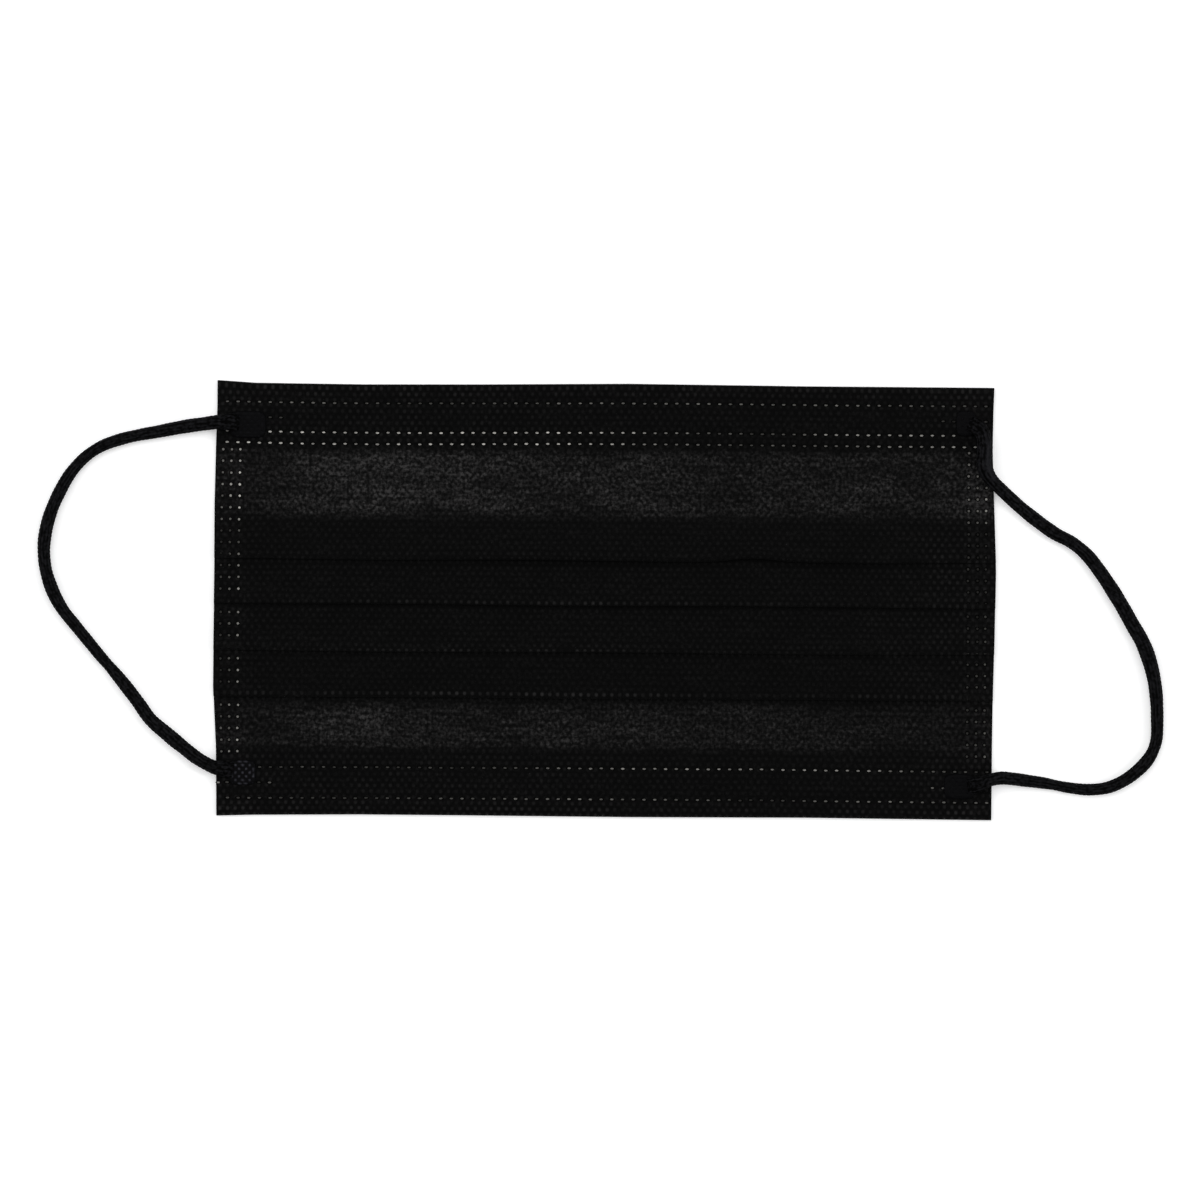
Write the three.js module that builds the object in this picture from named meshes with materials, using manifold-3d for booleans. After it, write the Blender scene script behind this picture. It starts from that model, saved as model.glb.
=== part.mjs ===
// A pleated earloop face mask, lying on its back with the outer face up. Millimetres, +Z up.
// X runs from ear to ear and +Y points at the nose edge. The origin is under the middle of the mask,
// on the surface that it lies on.

import * as THREE from "three";
import { mergeVertices } from "three/addons/utils/BufferGeometryUtils.js";
import Module from "manifold-3d";

// The laminate: outer web, filter and inner web together are one wall.
const WALL = 1;
const LAYER_GAP = 0.1; // air between two folded layers
const LEVEL = WALL + LAYER_GAP; // from the middle of one layer to the middle of the next
const GROUND = WALL / 2; // middle of a layer that lies on the surface
const FOLD_STEPS = 4; // facets round the outside of a fold

// The hems are turned under at the long edges and end on the inner face.
const HALF_HEIGHT = 48.75;
const HEM_FREE_EDGE = 34.4;
const HEM_BEND = 33.8; // the single layer leaves the hem here

// The four pleats, from the nose down. A strip turns under at its edge, runs back up to its tuck, and comes
// down again below the edge, where its middle is this far above the ground layer.
const PLEATS = [
  { edge: 8.9, tuck: 18.8, under: 2.5 },
  { edge: -1.2, tuck: 10.1, under: 2.5 },
  { edge: -11.8, tuck: -0.5, under: 2.5 },
  { edge: -22.2, tuck: -11.1, under: 0.3 },
];

// The side edges bulge a little where the pleats let them: half widths at a few heights.
const SIDE_EDGES = [
  { y: 49, left: 87.6, right: 87.5 },
  { y: 43, left: 87.6, right: 87.3 },
  { y: 35, left: 87.85, right: 87.2 },
  { y: 22, left: 88.1, right: 87.65 },
  { y: 7, left: 88.05, right: 88.15 },
  { y: -8, left: 88.1, right: 87.9 },
  { y: -20, left: 88.15, right: 87.65 },
  { y: -34, left: 87.4, right: 87.5 },
  { y: -49, left: 87.2, right: 87.45 },
];

// The hem folds wander: half heights at a few places across.
const HEM_EDGES = [
  { x: -87.5, top: 49.05, bottom: 49.05 },
  { x: -79, top: 48.5, bottom: 48.8 },
  { x: -55, top: 48.3, bottom: 48.55 },
  { x: -30, top: 48.45, bottom: 48.6 },
  { x: 5, top: 48.85, bottom: 48.75 },
  { x: 45, top: 48.55, bottom: 48.6 },
  { x: 87.5, top: 48.5, bottom: 48.9 },
];
const HEM_WANDER_FROM = 44.5; // the wander dies out inside this half height

// Across the mask, u runs from -1 at the left edge to 1 at the right edge. The pleats are pressed together
// towards the sides, and the side seams weld all the layers into one.
const PRESS = { from: 0.66, to: 0.87, least: 0.6 };
const PLEAT_ZONE = { top: 20, bottom: -27, fade: 13 }; // heights between which the stack is pressed
const OPEN_LAYERS_END = 0.88;
const LAYER_STATIONS = [0, 0.16, 0.32, 0.48, 0.6, 0.66, 0.72, 0.77, 0.82, 0.87, OPEN_LAYERS_END];

// Height of a side seam at its inner side, where it takes in the whole stack, and at the edge.
const SEAM_HEIGHTS = [
  { y: 48.75, inner: 2.15, edge: 2.0 },
  { y: 34, inner: 2.15, edge: 2.0 },
  { y: 27, inner: 2.75, edge: 1.7 },
  { y: 18, inner: 2.95, edge: 1.8 },
  { y: 10, inner: 3.5, edge: 2.2 },
  { y: -12, inner: 3.5, edge: 2.2 },
  { y: -16, inner: 2.6, edge: 1.9 },
  { y: -24, inner: 2.2, edge: 1.7 },
  { y: -34, inner: 2.15, edge: 2.0 },
  { y: -48.75, inner: 2.15, edge: 2.0 },
];
const SEAM_STATIONS = [
  { u: 0.87, slope: 0 },
  { u: 0.89, slope: 0 },
  { u: 0.92, slope: 0.6 },
  { u: 0.945, slope: 1 },
  { u: 1, slope: 1 },
];
const SEAM_ROUND = 0.6; // the seam's upper corners are cut back by this at the hem folds

// Round elastic cord, in one loop at each side. Its flattened ends are welded on the outer face.
const CORD_DIAMETER = 2.8;
const CORD_SIDES = 8;
const CORD_STEPS = 44;
const PAD = { bottom: 2.42, thickness: 0.9, corner: 1.1, cornerSteps: 4 };
const PADS = [
  { name: "left_upper_cord_weld", left: -84.3, right: -76.7, bottom: 36.1, top: 42.2 },
  { name: "left_lower_cord_weld", left: -83.8, right: -78.4, bottom: -42.2, top: -36.5 },
  { name: "right_upper_cord_weld", left: 79, right: 82.9, bottom: 37.6, top: 43.3 },
  { name: "right_lower_cord_weld", left: 76.8, right: 83.4, bottom: -44.2, top: -38.6 },
];
const ON_HEM = 3.85; // middle of the cord where it crosses the hem
const ON_GROUND = 1.45; // middle of the cord where it lies on the surface

// Each route runs from the upper weld round to the lower one.
const LEFT_ROUTE = [
  [-84.6, 39.6, ON_HEM],
  [-87.5, 39.6, 3.75],
  [-90.5, 39.2, 3.1],
  [-93.5, 38.8, 2.25],
  [-97, 38.2, 1.6],
  [-101, 37.4, ON_GROUND],
  [-105.4, 36.6, ON_GROUND],
  [-109.5, 35.6, ON_GROUND],
  [-113.8, 34, ON_GROUND],
  [-117.5, 31.5, ON_GROUND],
  [-120.7, 27.9, ON_GROUND],
  [-123.1, 23.7, ON_GROUND],
  [-124.9, 19.6, ON_GROUND],
  [-126.1, 15.3, ON_GROUND],
  [-126.6, 10.8, ON_GROUND],
  [-126.1, 6, ON_GROUND],
  [-124.5, 1.2, ON_GROUND],
  [-122.3, -2.8, ON_GROUND],
  [-119.5, -6.3, ON_GROUND],
  [-116.6, -9.8, ON_GROUND],
  [-113.7, -13.3, ON_GROUND],
  [-110.6, -16.8, ON_GROUND],
  [-107.7, -20.3, ON_GROUND],
  [-105, -23.8, ON_GROUND],
  [-102.3, -27.5, ON_GROUND],
  [-98.6, -30.7, 1.5],
  [-94.9, -33.7, 1.8],
  [-91.6, -36.2, 2.6],
  [-88.2, -38.3, 3.6],
  [-84.7, -39.4, ON_HEM],
];
const RIGHT_ROUTE = [
  [84.5, 39.8, ON_HEM],
  [85.3, 37.6, ON_HEM],
  [85.5, 34.8, 3.8],
  [85.5, 32.2, 3.7],
  [86.1, 30, 3.6],
  [87.4, 27.9, 3.5],
  [89.4, 25.8, 2.9],
  [91.6, 23.5, 2.1],
  [93.9, 21.3, 1.6],
  [97.2, 18.8, ON_GROUND],
  [101.3, 15.9, ON_GROUND],
  [105.3, 13.8, ON_GROUND],
  [108.8, 10.9, ON_GROUND],
  [111.8, 7.1, ON_GROUND],
  [114.5, 3.1, ON_GROUND],
  [116.9, -0.8, ON_GROUND],
  [119.1, -4.7, ON_GROUND],
  [121.3, -8.5, ON_GROUND],
  [122.9, -12.6, ON_GROUND],
  [124, -16.8, ON_GROUND],
  [124.6, -21.3, ON_GROUND],
  [124.8, -26, ON_GROUND],
  [124.6, -30.9, ON_GROUND],
  [122.8, -35, ON_GROUND],
  [118.9, -38.8, ON_GROUND],
  [114.4, -41.2, ON_GROUND],
  [109.8, -41.9, ON_GROUND],
  [105, -41.5, ON_GROUND],
  [100.1, -40.6, 1.5],
  [95.6, -40, 1.8],
  [92.5, -39.6, 2.4],
  [89.6, -39.4, 3.2],
  [87, -39.9, 3.75],
  [84.2, -41, ON_HEM],
];

const FABRIC = { color: 0x0d0d0e, roughness: 0.85, metalness: 0 };
const ELASTIC = { color: 0x0b0c10, roughness: 0.7, metalness: 0 };

const wasm = await Module();
wasm.setup();

const mix = THREE.MathUtils.lerp;
const smooth = THREE.MathUtils.smoothstep;

// The value of a table's column between its rows, whose key column rises or falls steadily.
function readTable(rows, key, column, at) {
  const rising = rows[0][key] < rows.at(-1)[key];
  const ordered = rising ? rows : [...rows].reverse();
  const next = ordered.findIndex((row) => row[key] >= at);
  if (next === -1) return ordered.at(-1)[column];
  if (next === 0) return ordered[0][column];
  const [a, b] = [ordered[next - 1], ordered[next]];
  return mix(a[column], b[column], (at - a[key]) / (b[key] - a[key]));
}

// Puts a point of the straight, unpressed mask where the wandering edges have it.
function placeAcross(u, y, z) {
  const x = u * readTable(SIDE_EDGES, "y", u < 0 ? "left" : "right", y);
  const reach = readTable(HEM_EDGES, "x", y > 0 ? "top" : "bottom", x);
  const wander = (reach - HALF_HEIGHT) * smooth(Math.abs(y), HEM_WANDER_FROM, HALF_HEIGHT);
  return new THREE.Vector3(x, y + Math.sign(y) * wander, z);
}

// How much the stack of layers is pressed flat, from 1 in the middle down to the least at the side seams.
function pressed(u, y) {
  const { top, bottom, fade } = PLEAT_ZONE;
  const inPleats = (1 - smooth(y, top, top + fade)) * smooth(y, bottom - fade / 2, bottom);
  const nearSide = smooth(Math.abs(u), PRESS.from, PRESS.to);
  return mix(1, PRESS.least, inPleats * nearSide);
}

// A fold of the laminate: where it points, the level it comes from and goes to, and which face is outside.
function fold(tip, points, from, to, outside) {
  const centre = { y: tip - points * (LEVEL + WALL) / 2, z: (from + to) / 2 };
  const down = Math.sign(from - to);
  const around = (radius, turn) => ({
    y: centre.y + points * radius * Math.sin(Math.PI * turn),
    z: centre.z + down * radius * Math.cos(Math.PI * turn),
  });
  const outer = [];
  for (let step = 0; step <= FOLD_STEPS; step += 1) {
    outer.push(around((LEVEL + WALL) / 2, step / FOLD_STEPS));
  }
  const inner = [around(LAYER_GAP / 2, 0), around(LAYER_GAP / 2, 1)];
  return {
    enter: { y: centre.y, z: from },
    leave: { y: centre.y, z: to },
    front: outside === "front" ? outer : inner,
    back: outside === "front" ? inner : outer,
  };
}

// A bend or a free end of the laminate, whose faces are set once its neighbours are known.
function bend(y, z) {
  return { enter: { y, z }, leave: { y, z } };
}

// Direction of the front face's normal between two points of the laminate's middle line.
function frontNormal(from, to) {
  const length = Math.hypot(to.y - from.y, to.z - from.z);
  return { y: (to.z - from.z) / length, z: (from.y - to.y) / length };
}

// The closed outline of the folded laminate, cut across the pleats.
function foldedOutline() {
  const stops = [
    bend(HEM_FREE_EDGE, GROUND),
    fold(HALF_HEIGHT, 1, GROUND, GROUND + LEVEL, "front"),
    bend(HEM_BEND, GROUND + LEVEL),
  ];
  for (const { edge, tuck, under } of PLEATS) {
    const top = GROUND + under + 2 * LEVEL;
    stops.push(
      fold(edge, -1, top, top - LEVEL, "front"),
      fold(tuck, 1, GROUND + LEVEL, GROUND, "back"),
      bend(edge, GROUND + under),
    );
  }
  stops.push(
    bend(-HEM_BEND, GROUND + LEVEL),
    fold(-HALF_HEIGHT, -1, GROUND + LEVEL, GROUND, "front"),
    bend(-HEM_FREE_EDGE, GROUND),
  );
  stops.forEach((stop, i) => {
    if (stop.front) return;
    const sides = [];
    if (i > 0) sides.push(frontNormal(stops[i - 1].leave, stop.enter));
    if (i < stops.length - 1) sides.push(frontNormal(stop.leave, stops[i + 1].enter));
    const y = sides.reduce((sum, side) => sum + side.y, 0) / sides.length;
    const z = sides.reduce((sum, side) => sum + side.z, 0) / sides.length;
    const half = WALL / 2 / (y * y + z * z);
    stop.front = [{ y: stop.enter.y + y * half, z: stop.enter.z + z * half }];
    stop.back = [{ y: stop.enter.y - y * half, z: stop.enter.z - z * half }];
  });
  return [...stops.flatMap((stop) => stop.front), ...stops.flatMap((stop) => stop.back).reverse()];
}

// The outline of a side seam, cut across the pleats at one station.
function seamOutline(slope) {
  const top = SEAM_HEIGHTS.map(({ y, inner, edge }) => ({ y, z: mix(inner, edge, slope) }));
  const cut = (row, inwards) => [
    { y: row.y, z: row.z - SEAM_ROUND },
    { y: row.y - inwards * SEAM_ROUND, z: row.z },
  ];
  return [
    { y: HALF_HEIGHT, z: 0 },
    ...cut(top[0], 1),
    ...top.slice(1, -1),
    ...cut(top.at(-1), -1).reverse(),
    { y: -HALF_HEIGHT, z: 0 },
  ];
}

// A ring of points as it shows when seen along X.
function seenAlongX(ring) {
  return ring.map((point) => new THREE.Vector2(point.y, point.z));
}

// The triangles that close one end of a loft.
function endTriangles(ring) {
  const contour = seenAlongX(ring);
  return THREE.ShapeUtils.triangulateShape(contour, []).map(([a, b, c]) => {
    const area = contour[b].clone().sub(contour[a]).cross(contour[c].clone().sub(contour[a]));
    return area > 0 ? [a, b, c] : [a, c, b];
  });
}

// A closed solid through rings of points that match one to one, each ring further along X than the last.
function loft(rings) {
  const count = rings[0].length;
  const turnsRight = THREE.ShapeUtils.isClockWise(seenAlongX(rings[0]));
  const last = (rings.length - 1) * count;
  const index = [];
  for (const [a, b, c] of endTriangles(rings[0])) {
    index.push(a, c, b);
  }
  for (const [a, b, c] of endTriangles(rings.at(-1))) {
    index.push(last + a, last + b, last + c);
  }
  for (let ring = 0; ring < rings.length - 1; ring += 1) {
    for (let i = 0; i < count; i += 1) {
      const next = (i + 1) % count;
      const [a, b] = turnsRight ? [next, i] : [i, next];
      const here = ring * count;
      const there = here + count;
      index.push(here + a, here + b, there + b, here + a, there + b, there + a);
    }
  }
  const geometry = new THREE.BufferGeometry().setFromPoints(rings.flat());
  geometry.setIndex(index);
  return geometry;
}

function toSolid(geometry) {
  const merged = mergeVertices(geometry);
  return new wasm.Manifold(
    new wasm.Mesh({
      numProp: 3,
      vertProperties: merged.getAttribute("position").array,
      triVerts: new Uint32Array(merged.index.array),
    }),
  );
}

function toGeometry(solid) {
  const mesh = solid.getMesh();
  const geometry = new THREE.BufferGeometry();
  geometry.setAttribute("position", new THREE.BufferAttribute(mesh.vertProperties, 3));
  geometry.setIndex(new THREE.BufferAttribute(mesh.triVerts, 1));
  return geometry;
}

function pleatedLayers() {
  const outline = foldedOutline();
  const left = LAYER_STATIONS.slice(1).map((u) => -u).reverse();
  const rings = [...left, ...LAYER_STATIONS].map((u) =>
    outline.map(({ y, z }) => placeAcross(u, y, z * pressed(u, y))),
  );
  return loft(rings);
}

function sideSeam(side) {
  const stations = side < 0 ? [...SEAM_STATIONS].reverse() : SEAM_STATIONS;
  const rings = stations.map(({ u, slope }) =>
    seamOutline(slope).map(({ y, z }) => placeAcross(side * u, y, z)),
  );
  return loft(rings);
}

function pleatedBody() {
  const solid = toSolid(pleatedLayers()).add(toSolid(sideSeam(-1))).add(toSolid(sideSeam(1)));
  return toGeometry(solid);
}

function cordTube(route) {
  const section = new THREE.Shape();
  const points = [];
  for (let i = 0; i < CORD_SIDES; i += 1) {
    const angle = ((i + 0.5) / CORD_SIDES) * 2 * Math.PI;
    points.push(new THREE.Vector2(Math.cos(angle), Math.sin(angle)).multiplyScalar(CORD_DIAMETER / 2));
  }
  section.setFromPoints(points);
  const path = new THREE.CatmullRomCurve3(route.map((point) => new THREE.Vector3(...point)));
  return new THREE.ExtrudeGeometry(section, { steps: CORD_STEPS, extrudePath: path });
}

function cordWeld({ left, right, bottom, top }) {
  const r = PAD.corner;
  const outline = new THREE.Shape();
  outline.absarc(right - r, top - r, r, 0, Math.PI / 2);
  outline.absarc(left + r, top - r, r, Math.PI / 2, Math.PI);
  outline.absarc(left + r, bottom + r, r, Math.PI, 1.5 * Math.PI);
  outline.absarc(right - r, bottom + r, r, 1.5 * Math.PI, 2 * Math.PI);
  const options = { depth: PAD.thickness, bevelEnabled: false, curveSegments: PAD.cornerSteps };
  return new THREE.ExtrudeGeometry(outline, options).translate(0, 0, PAD.bottom);
}

function addPiece(group, name, geometry, finish) {
  const mesh = new THREE.Mesh(geometry, new THREE.MeshStandardMaterial(finish));
  mesh.name = name;
  group.add(mesh);
}

const mask = new THREE.Group();
addPiece(mask, "pleated_body", pleatedBody(), FABRIC);
addPiece(mask, "left_ear_loop", cordTube(LEFT_ROUTE), ELASTIC);
addPiece(mask, "right_ear_loop", cordTube(RIGHT_ROUTE), ELASTIC);
for (const pad of PADS) {
  addPiece(mask, pad.name, cordWeld(pad), ELASTIC);
}

export default mask;
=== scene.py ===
import math

import bpy
import numpy as np
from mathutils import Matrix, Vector


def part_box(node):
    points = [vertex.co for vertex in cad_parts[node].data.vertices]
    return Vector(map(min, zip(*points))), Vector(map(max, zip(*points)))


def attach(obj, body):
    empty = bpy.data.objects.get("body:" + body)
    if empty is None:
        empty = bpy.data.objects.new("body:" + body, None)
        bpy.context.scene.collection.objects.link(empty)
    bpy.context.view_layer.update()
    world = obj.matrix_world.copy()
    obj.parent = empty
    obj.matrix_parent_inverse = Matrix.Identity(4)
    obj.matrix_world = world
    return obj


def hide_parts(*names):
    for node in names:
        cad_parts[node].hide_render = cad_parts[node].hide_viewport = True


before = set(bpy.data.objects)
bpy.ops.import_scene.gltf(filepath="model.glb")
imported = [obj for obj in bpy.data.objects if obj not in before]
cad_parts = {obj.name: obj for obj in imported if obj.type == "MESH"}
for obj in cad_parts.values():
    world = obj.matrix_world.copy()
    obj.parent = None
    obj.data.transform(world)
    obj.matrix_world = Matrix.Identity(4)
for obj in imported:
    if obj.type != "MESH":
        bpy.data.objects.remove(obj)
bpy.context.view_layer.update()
mm = 0.001
scene = bpy.context.scene
chance = np.random.default_rng(41)  # every random draw comes from here, so each run is the same
print("frame loaded:", len(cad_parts), "nodes")


def smoothStep(value, low, high):
    t = np.clip((np.asarray(value, float) - low) / (high - low), 0, 1)
    return t * t * (3 - 2 * t)


def inBand(value, low, full, fading, high):
    # rises from low to full, falls from fading to high
    return smoothStep(value, low, full) * (1 - smoothStep(value, fading, high))


def mix(a, b, share):
    return a + (b - a) * share


def between(table, at, k=1):
    # straight lines through column k of a table whose first column is the place
    table = sorted(table)
    return np.interp(at, [row[0] for row in table], [row[k] for row in table])


def curveThrough(places, values, at):
    # smooth line through values at rising places; values may be arrays, one number for each column
    i = min(max(np.searchsorted(places, at) - 1, 0), len(places) - 2)
    step = places[i + 1] - places[i]
    t = (at - places[i]) / step

    def slope(k):
        a, b = max(k - 1, 0), min(k + 1, len(places) - 1)
        return (values[b] - values[a]) / (places[b] - places[a]) * step

    return (
        (2 * t**3 - 3 * t**2 + 1) * values[i]
        + (t**3 - 2 * t**2 + t) * slope(i)
        + (3 * t**2 - 2 * t**3) * values[i + 1]
        + (t**3 - t**2) * slope(i + 1)
    )


def makeMesh(name, points, faces, *materials):
    mesh = bpy.data.meshes.new(name)
    mesh.from_pydata([tuple(p) for p in points], [], faces, shade_flat=False)
    for material in materials:
        mesh.materials.append(material)
    mesh.update()
    piece = bpy.data.objects.new(name, mesh)
    scene.collection.objects.link(piece)
    return piece


def dishFaces(first, rings, sides):
    # a fan round the middle point, which is number first, and quads from each ring to the next
    faces = []
    for j in range(sides):
        k = (j + 1) % sides
        faces.append((first, first + 1 + j, first + 1 + k))
        for r in range(rings - 1):
            a = first + 1 + r * sides
            faces.append((a + j, a + sides + j, a + sides + k, a + k))
    return faces


def unroll(piece, flat):
    # each vertex's place on the cloth or cord laid out flat, in millimetres, for its material's patterns
    vertexOf = np.zeros(len(piece.data.loops), np.int32)
    piece.data.loops.foreach_get("vertex_index", vertexOf)
    layer = piece.data.uv_layers.new(name="cloth")
    layer.data.foreach_set("uv", (flat * mm)[vertexOf].astype(np.float32).ravel())


def pointValue(piece, name, values):
    # a number for each vertex that a material can read
    attribute = piece.data.attributes.new(name, "FLOAT", "POINT")
    attribute.data.foreach_set("value", np.asarray(values, np.float32))


def place(piece, slotName, *nodes):
    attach(piece, "root")
    if nodes:
        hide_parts(*nodes)


view = {
    "lens": 200.0,  # long, so the flat mask shows without perspective
    "sensor": 36.0,
    "across": 270.6,  # width of table in the picture
    "aim": (-1.07, 0.11, 2.0),
    "roll": 0.4,  # degrees
    "clip": (0.05, 30),  # metres
}


def addCamera():
    data = bpy.data.cameras.new("tableCamera")
    data.lens, data.sensor_width = view["lens"], view["sensor"]
    data.clip_start, data.clip_end = view["clip"]
    camera = bpy.data.objects.new("tableCamera", data)
    height = view["across"] * view["lens"] / view["sensor"]
    camera.location = (Vector(view["aim"]) + Vector((0, 0, height))) * mm
    camera.rotation_euler = (0, 0, math.radians(view["roll"]))
    scene.collection.objects.link(camera)
    scene.camera = camera


# metres and watts; large soft boxes, so the black web shows no hard shine
lamps = {
    "overheadSoftbox": {"at": (-0.1, 0.5, 1.3), "size": (1.5, 1.2), "watts": 10.2},
    "rightSoftbox": {"at": (1.0, -0.1, 0.7), "size": (0.4, 0.9), "watts": 5.2},
    "leftSoftbox": {"at": (-1.0, 0.1, 0.7), "size": (0.4, 0.9), "watts": 3.8},
}

room = {"Color": (0.95, 0.96, 0.97, 1), "Strength": 0.29}  # a faint cool light from all round


def addLamps():
    for name, lamp in lamps.items():
        data = bpy.data.lights.new(name, "AREA")
        data.shape = "RECTANGLE"
        data.size, data.size_y = lamp["size"]
        data.energy = lamp["watts"]
        light = bpy.data.objects.new(name, data)
        light.location = lamp["at"]
        light.rotation_euler = (-Vector(lamp["at"])).to_track_quat("-Z", "Y").to_euler()
        scene.collection.objects.link(light)
    world = bpy.data.worlds.new("paleRoom")
    world.use_nodes = True
    feed(world.node_tree.nodes["Background"], room)
    scene.world = world


def toLinear(code):
    # sRGB hex to the linear colour that a shader wants
    channels = [c / 255 for c in bytes.fromhex(code[1:])]
    return tuple(c / 12.92 if c <= 0.04045 else ((c + 0.055) / 1.055) ** 2.4 for c in channels) + (1,)


def feed(made, inputs):
    # each input takes a plain value, a hex colour, a socket, or the first enabled output of a node
    for key, source in inputs.items():
        if isinstance(source, str):
            source = toLinear(source)
        if isinstance(source, bpy.types.Node):
            source = next(output for output in source.outputs if output.enabled)
        if isinstance(source, bpy.types.NodeSocket):
            made.id_data.links.new(source, made.inputs[key])
        else:
            made.inputs[key].default_value = source


def node(tree, kind, inputs=None, **settings):
    # adds a node with its settings and links
    made = tree.nodes.new("ShaderNode" + kind)
    for key, value in settings.items():
        setattr(made, key, value)
    feed(made, inputs or {})
    return made


def newMaterial(name, colour, roughness, specular, ior=1.5, sheen=0.0):
    material = bpy.data.materials.new(name)
    material.use_nodes = True
    tree = material.node_tree
    surface = tree.nodes["Principled BSDF"]
    feed(surface, {
        "Base Color": colour, "Roughness": roughness, "Specular IOR Level": specular, "IOR": ior,
        "Sheen Weight": sheen, "Sheen Roughness": 0.5,
    })
    return material, tree, surface


web = {
    "black": "#050505",  # pigmented polypropylene, dull black
    "pale": "#343333",  # paler colour: the fibres' own mottle, painted light through one thin web, painted highlight on the dots
    # painted shade under the pleats' edges
    "creaseShade": "#030303",
    "dotPitch": 1.748,  # emboss, in a row
    "dotRows": 1.295,  # emboss, row to row
    "dotEdge": (0.1, 1.3),  # a wide range, so the pressed dots fade softly into the web
    "dotShow": (0.85, 1.35),  # how much painted light comes through between the dots, and on them
    "dotGloss": (0.82, 0.5),  # roughness between the dots, and on them
    "fibres": 0.065,  # how pale the fibres are where no painted light comes through
    "relief": 0.12,
    # uneven layers: size of a patch across and along, detail, twist, range of the noise, range of the result
    "layers": {
        # crossings of fibre bundles; single fibres are 0.02 mm and would not show
        "grain": ((0.36, 0.42), 1.5, 0.0, (0.34, 0.84), (0.05, 1.0)),
        # loose bundles lie mostly across the mask
        "strands": ((1.6, 0.6), 1.5, 1.2, (0.3, 0.75), (0.4, 1.65)),
        # thick and thin places in the web
        "clouds": ((8.0, 2.6), 3.0, 0.4, (0.3, 0.7), (0.58, 1.36)),
        # some dots are pressed harder than others
        "patches": ((2.6, 2.0), 2.0, 0.0, (0.3, 0.7), (0.1, 1.9)),
    },
}


def staggeredDots(tree, flat, pitch, rowPitch, low, high):
    # 1 on the dots of a staggered emboss and 0 between them
    turns = (2 * math.pi / (pitch * mm), math.pi / (rowPitch * mm), 0)
    turned = node(tree, "VectorMath", {0: flat, 1: turns}, operation="MULTIPLY")
    waves = node(tree, "SeparateXYZ", {0: node(tree, "VectorMath", {0: turned}, operation="COSINE")})
    across, along = waves.outputs[:2]
    rounder = node(tree, "Math", {0: along, 1: 0.4, 2: across}, operation="MULTIPLY_ADD")
    lattice = node(tree, "Math", {0: rounder, 1: along}, operation="MULTIPLY")
    return node(tree, "MapRange", {0: lattice, 1: low, 2: high}, interpolation_type="SMOOTHSTEP")


def spunbondWeb():
    # Spunbond polypropylene nonwoven, hot-calendered: matt fibres with small fused, smoother dots.
    material, tree, surface = newMaterial("spunbondPolypropylene", web["black"], 0.8, 0.03, 1.49, 0.012)
    flat = node(tree, "UVMap", uv_map="cloth")
    dots = staggeredDots(tree, flat, web["dotPitch"], web["dotRows"], *web["dotEdge"])
    layers = {}
    for name, (size, detail, twist, found, result) in web["layers"].items():
        often = tuple(0.5 / (s * mm) for s in size) + (1,)
        spread = node(tree, "VectorMath", {0: flat, 1: often}, operation="MULTIPLY")
        noise = node(tree, "TexNoise", {
            "Vector": spread, "Scale": 1, "Detail": detail, "Roughness": 0.6, "Distortion": twist,
        })
        ranges = dict(enumerate((noise, *found, *result)))
        layers[name] = node(tree, "MapRange", ranges, interpolation_type="SMOOTHSTEP")
    lightThrough, gleam, creaseShade = (
        node(tree, "Attribute", attribute_name=name).outputs["Fac"] for name in ("lightThrough", "gleam", "creaseShade")
    )
    fleck = node(tree, "Math", {0: layers["grain"], 1: layers["strands"]}, operation="MULTIPLY")
    weave = node(tree, "Math", {0: fleck, 1: layers["clouds"]}, operation="MULTIPLY")
    # painted light: light from beneath comes through where the cloth is one layer, and most at the dots,
    # where the web is thinnest
    through = node(tree, "Math", {0: weave, 1: lightThrough}, operation="MULTIPLY")
    thinned = node(tree, "MapRange", {0: dots, 3: web["dotShow"][0], 4: web["dotShow"][1]})
    lightShown = node(tree, "Math", {0: through, 1: thinned}, operation="MULTIPLY")
    # painted highlight: the fused dots catch the light
    pressedDots = node(tree, "Math", {0: dots, 1: layers["patches"]}, operation="MULTIPLY")
    share = node(tree, "Math", {0: pressedDots, 1: gleam, 2: lightShown}, operation="MULTIPLY_ADD")
    share = node(tree, "Math", {0: weave, 1: web["fibres"], 2: share}, operation="MULTIPLY_ADD")
    colour = node(tree, "Mix", {0: share, 6: web["black"], 7: web["pale"]}, data_type="RGBA")
    # painted shade just under each pleat's edge
    shaded = node(tree, "Mix", {0: creaseShade, 6: colour, 7: web["creaseShade"]}, data_type="RGBA")
    gloss = node(tree, "MapRange", {0: dots, 3: web["dotGloss"][0], 4: web["dotGloss"][1]})
    fibres = node(tree, "Math", {0: layers["grain"], 1: 0.3}, operation="MULTIPLY")
    height = node(tree, "Math", {0: fibres, 1: dots}, operation="SUBTRACT")
    bump = node(tree, "Bump", {"Height": height, "Strength": 0.6, "Distance": web["relief"] * mm})
    feed(surface, {"Base Color": shaded, "Roughness": gloss, "Normal": bump})
    return material


def innerWeb():
    # Thermally bonded inner web, softer and a little paler than the outer one.
    material, tree, surface = newMaterial("thermalBondedInnerWeb", "#161617", 0.85, 0.03, 1.49, 0.012)
    flat = node(tree, "UVMap", uv_map="cloth")
    fibres = node(tree, "TexNoise", {"Vector": flat, "Scale": 1200, "Detail": 2, "Distortion": 1})
    colour = node(tree, "Mix", {0: fibres, 6: "#0c0c0d", 7: "#1a1a1c"}, data_type="RGBA")
    bump = node(tree, "Bump", {"Height": fibres, "Strength": 0.5, "Distance": 0.08 * mm})
    feed(surface, {"Base Color": colour, "Normal": bump})
    return material


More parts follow.
